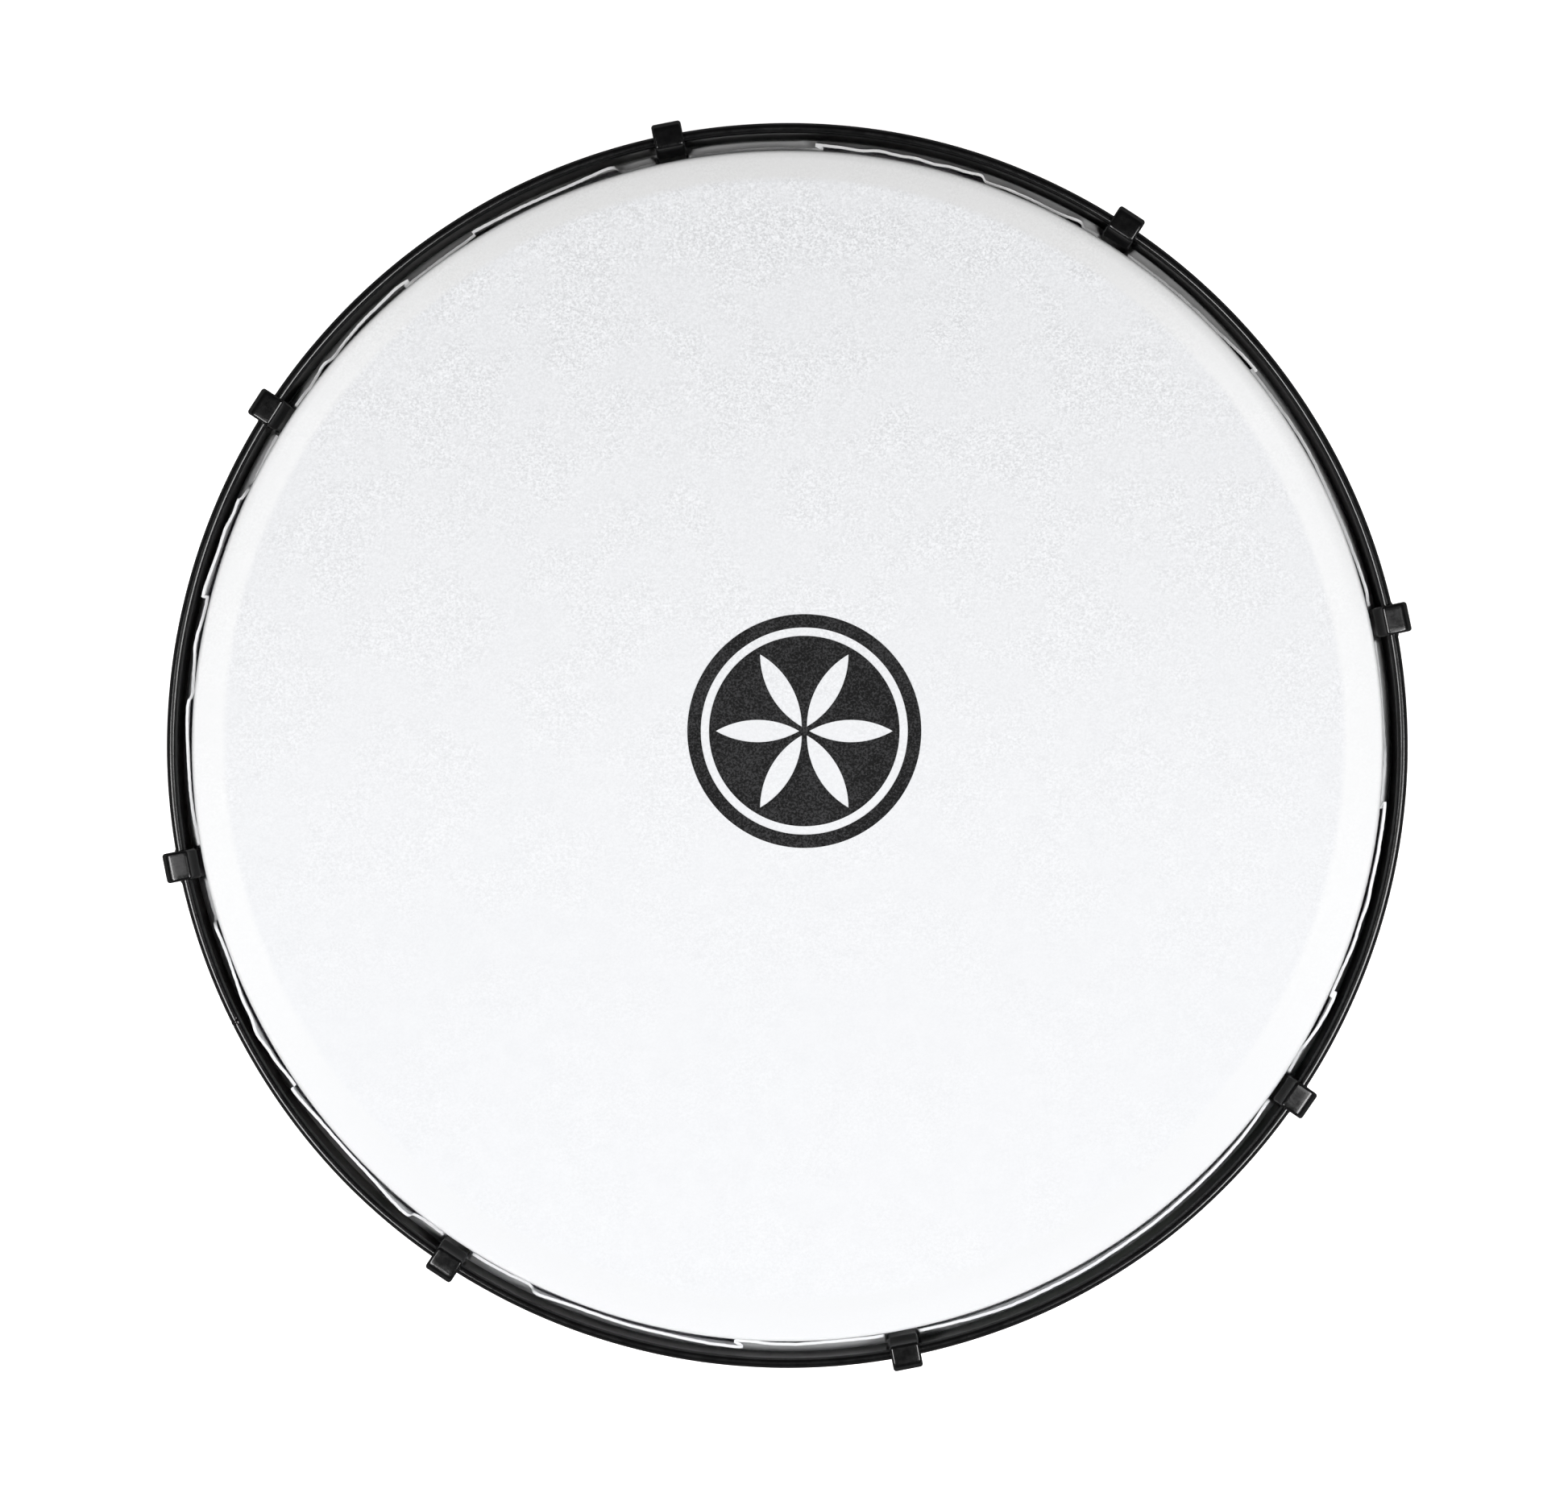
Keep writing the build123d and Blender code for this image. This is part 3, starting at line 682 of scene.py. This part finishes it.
def foot_places(line, lap):
    """Where each point of the edge stands on the hoop: the same way round, without turning back at a pleat."""
    count = len(line)
    ahead, high = [], -1e9
    for p in line:
        high = max(high, p.x)
        ahead.append(high)
    behind, low = [0.0] * count, 1e9
    for i in range(count - 1, -1, -1):
        low = min(low, line[i].x)
        behind[i] = low
    even = [line[0].x + lap * i / count for i in range(count)]
    middle = [(a + b) / 2 for a, b in zip(ahead, behind)]
    smoothed = []
    for i in range(count):
        total = 0.0
        for k in range(-FOOT_REACH, FOOT_REACH + 1):
            j = (i + k) % count
            turn = (i + k) // count
            total += middle[j] + turn * lap
        smoothed.append(total / (2 * FOOT_REACH + 1))
    return [lerp(s, e, FOOT_EVENED) for s, e in zip(smoothed, even)]


def lap_section(top_r, top_z, low_r, foot_r, foot_z, sway):
    """The middle of the sheet from the wire's inner side, under and over it, and up to the trimmed edge."""
    line = arc((WIRE_RING_R, WIRE_Z), WIRE_R + SKIN / 2, WRAP_START, WRAP_END, WRAP_STEPS)
    line += [(low_r + inside, z) for inside, z in OFF_WIRE]
    line += straight((low_r, FLAP_FOOT_LOW_Z), (foot_r, foot_z), FOOT_STEPS)
    for i in range(1, FLAP_STEPS + 1):
        share = i / FLAP_STEPS
        bow = sway * sin(pi * share)
        line.append((lerp(foot_r, top_r, share) + bow, lerp(foot_z, top_z, share)))
    return line


def waver(x, waves):
    """Noise at several sizes along a line."""
    return sum(size * wobble(x * rate, seed) for size, rate, seed in waves)


def out_of_true(degree):
    """How far the counter hoop stands outside its nominal circle: slightly oval, with three shallow bulges."""
    turn = radians(degree)
    away = HOOP_LARGER - HOOP_OVAL * cos(2 * turn) - HOOP_ASIDE * cos(turn)
    for at, height, spread in HOOP_BULGES:
        beside = (degree - at + 180) % 360 - 180
        away += height * exp(-((beside / spread) ** 2))
    return away


def skin_lap():
    """The skin wrapped round the flesh hoop, with its ragged trimmed edge standing inside the counter hoop."""
    line, lap = edge_line()
    feet = foot_places(line, lap)
    around = radians(1) * FLAP_FOOT_R
    points = []
    for p, foot in zip(line, feet):
        near_hook = min(abs((p.x / around - h + 180) % 360 - 180) for h in HOOK_DEGREES)
        free = smooth((near_hook - NOTCH_HALF) / NOTCH_FADE)
        top_r = max(TOUCHING_R, min(p.y + waver(p.x, RAGGED_OUT) * free, FLAP_FOOT_R))
        top_z = p.z + waver(p.x, RAGGED_UP) * free
        off_middle = abs(p.x / around - LEANING_DEGREE) / LEANING_SPREAD
        leaning = smooth(LEANING_STEEPNESS * (1 - off_middle))
        knee_r = lerp(FLAP_KNEE_R, LEANING_KNEE_R, leaning)
        knee_z = min(lerp(FLAP_FOOT_HIGH_Z, LEANING_KNEE_Z, leaning), p.z - KNEE_BELOW_EDGE)
        foot_z = lerp(FLAP_FOOT_LOW_Z + 0.1 * MM, knee_z, free)
        low_r = FLAP_FOOT_R + out_of_true(foot / around)
        foot_r = lerp(low_r, knee_r, free)
        sway = -FLAP_SWAY * free * (1 + wobble(p.x * 150, 50.0))
        section = lap_section(top_r, top_z, low_r, foot_r, foot_z, sway)
        sides = normals_2d(section)
        wrap_end, last = WRAP_STEPS + 1, len(section) - 1
        outer, inner = [], []
        for k, ((r, z), (nr, nz)) in enumerate(zip(section, sides)):
            share = smooth((k - wrap_end) / THINNING_ROWS)
            half = lerp(SKIN / 2, FLAP_HALF, share)
            pleat = 0.0
            if k < PLEATED_ROWS:
                fold = max(0.0, wobble(foot * 330, k * 0.16, 70.0))
                pleat = WRAP_PLEAT * fold * sin(pi * k / PLEATED_ROWS)
            rise = lerp(foot, p.x, max(0.0, (k - wrap_end) / (last - wrap_end))) / around
            outer.append(on_drum(rise, r - nr * (half + pleat), z - nz * (half + pleat)))
            inner.append(on_drum(rise, r + nr * half, z + nz * half))
        points += outer + inner[::-1]
    skin = make_piece("skin_lap", points, loop_faces(len(line), len(points) // len(line)), SKIN_LOOK, 60)
    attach(skin, "hoop")
    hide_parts("goatskin_lap")


# ---------------------------------------------------------------- steel

HOOP_COLUMNS = 720
HOOP_TOP_ROLL = 1.5 * MM
HOOP_FOOT_ROLL = 0.4 * MM
# Slight unevenness: (size, waves across a radius, seed)
HOOP_DENTS = ((0.05 * MM, 1.7, 2.0), (0.03 * MM, 9, 0.0))
WELD_DEGREE = 206.6
WELD_HALF = 0.12
WELD_RISE = 0.10 * MM
WELD_DIP = 0.05 * MM


def counter_hoop():
    """The steel band: its top edge rolled, not quite true, with its butt weld dressed flush and painted."""
    top, foot = HOOP_TOP_ROLL, HOOP_FOOT_ROLL
    low_z, high_z = HOOP_LOW.z, HOOP_HIGH.z
    section = arc((HOOP_OUTER_R - top, high_z - top), top, 0, 90, 8)
    section += arc((HOOP_INNER_R + top, high_z - top), top, 90, 180, 8)
    section += [(HOOP_INNER_R, lerp(high_z - top, low_z + foot, i / 4)) for i in range(1, 4)]
    section += arc((HOOP_INNER_R + foot, low_z + foot), foot, 180, 270, 3)
    section += arc((HOOP_OUTER_R - foot, low_z + foot), foot, 270, 360, 3)
    section += [(HOOP_OUTER_R, lerp(low_z + foot, high_z - top, i / 4)) for i in range(1, 4)]
    sides = normals_2d(section, closed=True)
    degrees_at = [360 * i / HOOP_COLUMNS for i in range(HOOP_COLUMNS)]
    degrees_at += [WELD_DEGREE + WELD_HALF / 2 * k for k in range(-7, 8)]
    degrees_at = sorted(set(round(d, 4) for d in degrees_at))
    points = []
    for degree in degrees_at:
        x, y, _ = on_drum(degree, 1.0, 0.0)
        out = sum(size * wobble(x * rate, y * rate, seed) for size, rate, seed in HOOP_DENTS)
        out += out_of_true(degree)
        off_weld = abs(degree - WELD_DEGREE) / WELD_HALF
        weld = WELD_RISE * max(0.0, 1 - off_weld**2) - WELD_DIP * max(0.0, 1 - (off_weld - 2) ** 2)
        for (r, z), (nr, nz) in zip(section, sides):
            swell = weld if z > low_z + foot else 0
            points.append(on_drum(degree, r + out - nr * swell, min(z - nz * swell, high_z + WELD_RISE)))
    hoop = make_piece("hoop_band", points, loop_faces(len(degrees_at), len(section)), STEEL_LOOK, 50)
    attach(hoop, "hoop")
    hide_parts("counter_hoop")


PAST_BEND_R = 185 * MM
THREAD_TOP_Z = 62.0 * MM
NECK_TOP_Z = 83.5 * MM
NECK_END_Z = 75.5 * MM
THREAD_DEPTH = 0.40 * MM
THREAD_FADE = 0.6 * MM
ROD_CHAMFER = 0.6 * MM
STRAP_CORNER = 0.92 * MM
TONGUE_DROP = 3.45 * MM
TONGUE_SLANT = 2.0 * MM
TIP_LENGTH = 0.35 * MM
TIP_WIDTH = 0.94
TIP_THICKNESS = 0.62


def strap_ring():
    """The strap's rounded oblong section as (across, through) points, with the angle each takes on the rod."""
    half_w, half_t, corner = STRAP_WIDTH / 2, STRAP / 2, STRAP_CORNER
    outline = []
    for sx, sy, start in ((1, 1, 0), (-1, 1, 90), (-1, -1, 180), (1, -1, 270)):
        centre = (sx * (half_w - corner), sy * (half_t - corner))
        outline += arc(centre, corner, start, start + 90, 6)
        if sx * sy > 0:
            outline += [(lerp(centre[0], -centre[0], s), sy * half_t) for s in (0.15, 0.38, 0.62, 0.85)]
    return [(x, y, atan2(y / half_t, x / half_w)) for x, y in outline]


def filleted(points, radii, steps=8):
    """A line with its inner corners rounded to the given radii."""
    line = [points[0]]
    for before, corner, after, radius in zip(points, points[1:], points[2:], radii):
        into = (Vector(before) - Vector(corner)).normalized()
        away = (Vector(after) - Vector(corner)).normalized()
        half = into.angle(away) / 2
        centre = Vector(corner) + (into + away).normalized() * radius / sin(half)
        first = into * radius * cos(half) / sin(half) + Vector(corner) - centre
        last = away * radius * cos(half) / sin(half) + Vector(corner) - centre
        start, end = (degrees(atan2(spoke.y, spoke.x)) for spoke in (first, last))
        line += arc(centre, radius, start, start + (end - start + 180) % 360 - 180, steps)
    line.append(points[-1])
    return line


def subdivided(line, step):
    """The same line with points added where two are further apart than a step."""
    found = [line[0]]
    for a, b in zip(line, line[1:]):
        count = max(1, ceil(hypot(b[0] - a[0], b[1] - a[1]) / step))
        found += [(lerp(a[0], b[0], i / count), lerp(a[1], b[1], i / count)) for i in range(1, count + 1)]
    return found


def hook_stations():
    """(radius, height) of the hook's middle: the tongue, over the hoop, and down the leg, neck and rod."""
    mid_inner, mid_outer = STRAP_INNER_R + STRAP / 2, STRAP_OUTER_R - STRAP / 2
    top = STRAP_TOP_Z - STRAP / 2
    corners = [
        (mid_inner, STRAP_FOOT_Z),
        (mid_inner, top - TONGUE_DROP),
        (mid_inner + TONGUE_SLANT, top),
        (mid_outer, top),
        (mid_outer, NECK_TOP_Z),
    ]
    line = subdivided(filleted(corners, (1.8 * MM, 0.4 * MM, 1.8 * MM)), 1.5 * MM)
    for i in range(1, 15):
        line.append((lerp(mid_outer, ROD_RING_R, smooth(i / 14)), lerp(NECK_TOP_Z, NECK_END_Z, i / 14)))
    line += [(ROD_RING_R, lerp(NECK_END_Z, THREAD_TOP_Z, i / 3)) for i in range(1, 4)]
    thread_rows = ceil((THREAD_TOP_Z - ROD_END_Z) / (ROD_PITCH / 5))
    line += [(ROD_RING_R, lerp(THREAD_TOP_Z, ROD_END_Z, i / thread_rows)) for i in range(1, thread_rows + 1)]
    return line


def claw_hook():
    """One claw hook along +X: the bent strap, the forged neck, and the rod with its rolled thread."""
    ring = strap_ring()
    line = hook_stations()
    sides = normals_2d(line)
    points = []
    for (r, z), (nr, nz) in zip(line, sides):
        past_bend = r > PAST_BEND_R
        share = smooth((NECK_TOP_Z - z) / (NECK_TOP_Z - NECK_END_Z)) if past_bend else 0.0
        for x, y, turn in ring:
            reach = ROD_R
            if past_bend and z < THREAD_TOP_Z + THREAD_FADE:
                fade = smooth((THREAD_TOP_Z + THREAD_FADE - z) / (2 * THREAD_FADE))
                phase = (z / ROD_PITCH + turn / (2 * pi)) % 1.0
                reach -= THREAD_DEPTH * abs(2 * phase - 1) * fade
                reach -= ROD_CHAMFER * smooth((ROD_END_Z + ROD_CHAMFER - z) / ROD_CHAMFER)
            across = lerp(x, reach * cos(turn), share)
            through = lerp(y, reach * sin(turn), share)
            points.append((r + nr * through, across, z + nz * through))
    count = len(ring)
    faces = loop_faces(len(line), count, closed_columns=False)
    tip_r, tip_z = line[0]
    tip = range(len(points), len(points) + count)
    points += [(tip_r + y * TIP_THICKNESS, x * TIP_WIDTH, tip_z - TIP_LENGTH) for x, y, _ in ring]
    faces += [(k, (k + 1) % count, tip[(k + 1) % count], tip[k]) for k in range(count)]
    faces.append(tuple(tip))
    rod_end = (len(line) - 1) * count
    faces.append(tuple(range(rod_end, rod_end + count))[::-1])
    return points, faces


def claw_hooks():
    """The eight hooks, one mesh turned to each hook's place."""
    points, faces = claw_hook()
    master = make_piece("claw_hook_1", points, faces, STEEL_LOOK, 50)
    for number, degree in enumerate(HOOK_DEGREES, 1):
        hook = master
        if number > 1:
            hook = bpy.data.objects.new(f"claw_hook_{number}", master.data)
            bpy.context.scene.collection.objects.link(hook)
        hook.matrix_world = Matrix.Rotation(radians(degree), 4, "Z")
        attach(hook, "hoop")
        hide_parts(f"tuning_hook_{number}")


# ---------------------------------------------------------------- the CAD's own nodes


ZINC_NODES = (
    "flesh_hoop",
    "crossbar_screws",
    "tuning_washers",
    "bracket_bolts",
    "bracket_bolt_washers",
    "bracket_bolt_nuts",
)


def dress_nodes():
    """Gives each CAD node that stays its material."""
    looks = {"shell": SHELL_LOOK, "printed_roundel": INK_LOOK, **BAR_LOOKS}
    looks.update(dict.fromkeys(ZINC_NODES, ZINC_LOOK))
    for number in range(1, len(HOOK_DEGREES) + 1):
        looks[f"lug_bracket_{number}"] = STEEL_LOOK
        looks[f"tuning_nut_{number}"] = ZINC_LOOK
    for node, look in looks.items():
        materials = frame["nodes"][node].data.materials
        materials.clear()
        materials.append(look)


# ---------------------------------------------------------------- studio


FLOOR_HALF = 6.0
FLOOR_GLOW = 0.85
WORLD_GLOW = 0.03
HORIZON_GLOW = 0.4
GROUND_GLOW = 0.16
BACKDROP_TONE = (0.95, 0.95, 0.95, 1)
SOFTBOXES = [
    # name, place, width, height, power
    ("softbox_right", (0.85, -0.42, 1.75), 0.9, 0.45, 21.0),
    ("softbox_left", (-0.85, -0.42, 1.75), 0.9, 0.45, 21.0),
    ("softbox_front", (0.0, -1.95, 1.3), 2.4, 1.4, 9.0),
]
STRIPS = [
    # the same: seen only as highlights, which is what they are for on the black hoop and hooks
    ("strip_right", (0.45, -0.09, 1.75), 0.16, 0.52, 1.4),
    ("strip_left", (-0.48, -0.03, 1.75), 0.16, 0.42, 0.75),
]


def studio_floor():
    """A white table that glows a little, as a lit sweep does, and that hides nothing from below."""
    size = FLOOR_HALF
    points = [(-size, -size, 0), (size, -size, 0), (size, size, 0), (-size, size, 0)]
    table = Surface("floor", Roughness=0.9)
    table.set(Base_Color=table.mix(table.noise(3.0), (0.86, 0.86, 0.86), (0.88, 0.88, 0.88)))
    table.shader.inputs["Specular IOR Level"].default_value = 0.0
    table.shader.inputs["Emission Color"].default_value = (1, 1, 1, 1)
    table.shader.inputs["Emission Strength"].default_value = FLOOR_GLOW
    from_below = table.add("ShaderNodeNewGeometry").outputs["Backfacing"]
    clear = table.add("ShaderNodeBsdfTransparent").outputs[0]
    shown = table.shader_mix(from_below, table.shader.outputs[0], clear)
    table.feed(table.tree.nodes["Material Output"].inputs["Surface"], shown)
    floor_piece = make_piece("floor", points, [(0, 1, 2, 3)], table.material)
    floor_piece.visible_glossy = False


def studio_lights():
    """The soft boxes and strips, all aimed at the head's middle."""
    for name, place, width, height, power in SOFTBOXES + STRIPS:
        light = bpy.data.lights.new(name, "AREA")
        light.shape = "RECTANGLE"
        light.size, light.size_y = width, height
        light.energy = power
        lamp = bpy.data.objects.new(name, light)
        bpy.context.scene.collection.objects.link(lamp)
        lamp.location = place
        aim = Vector((0, 0, HEAD_Z)) - Vector(place)
        lamp.rotation_euler = aim.to_track_quat("-Z", "Y").to_euler()
        lamp.visible_diffuse = not name.startswith("strip")
        lamp.visible_glossy = name != "softbox_front"


def studio_world():
    """A dim glow, brighter near the horizon and below it for reflections only, and a white backdrop."""
    studio = bpy.data.worlds.new("studio")
    bpy.context.scene.world = studio
    studio.use_nodes = True
    world = Nodes(studio.node_tree, "Generated")
    rays = world.add("ShaderNodeLightPath").outputs
    _, _, up = world.split()
    above = world.span(up, 0.05, 0.5, HORIZON_GLOW, 0.0, "SMOOTHSTEP")
    below = world.span(up, -0.05, 0.05, GROUND_GLOW, HORIZON_GLOW, "SMOOTHSTEP")
    reflected = world.math("MINIMUM", above, below)
    glow = world.tree.nodes["Background"]
    glow.inputs["Color"].default_value = (1, 1, 1, 1)
    strength = world.math("MULTIPLY_ADD", reflected, rays["Is Glossy Ray"], WORLD_GLOW)
    world.feed(glow.inputs["Strength"], strength)
    backdrop = world.add("ShaderNodeBackground")
    backdrop.inputs["Color"].default_value = BACKDROP_TONE
    shown = world.shader_mix(rays["Is Camera Ray"], glow.outputs[0], backdrop.outputs[0])
    world.feed(world.tree.nodes["World Output"].inputs["Surface"], shown)


CAMERA_PLACE = (-1.07 * MM, -2.01 * MM, HEAD_Z + 1198 * MM)
CAMERA_LENS = 91.9


def camera():
    """Straight above the head, a little off its middle, as the photographer stood."""
    data = bpy.data.cameras.new("camera")
    data.lens = CAMERA_LENS
    data.sensor_width = 36.0
    data.clip_start, data.clip_end = 0.05, 50.0
    place = bpy.data.objects.new("camera", data)
    bpy.context.scene.collection.objects.link(place)
    place.location = CAMERA_PLACE
    bpy.context.scene.camera = place


head_skin()
skin_lap()
counter_hoop()
claw_hooks()
dress_nodes()
studio_floor()
studio_lights()
studio_world()
camera()
bpy.context.scene.view_settings.view_transform = "Standard"
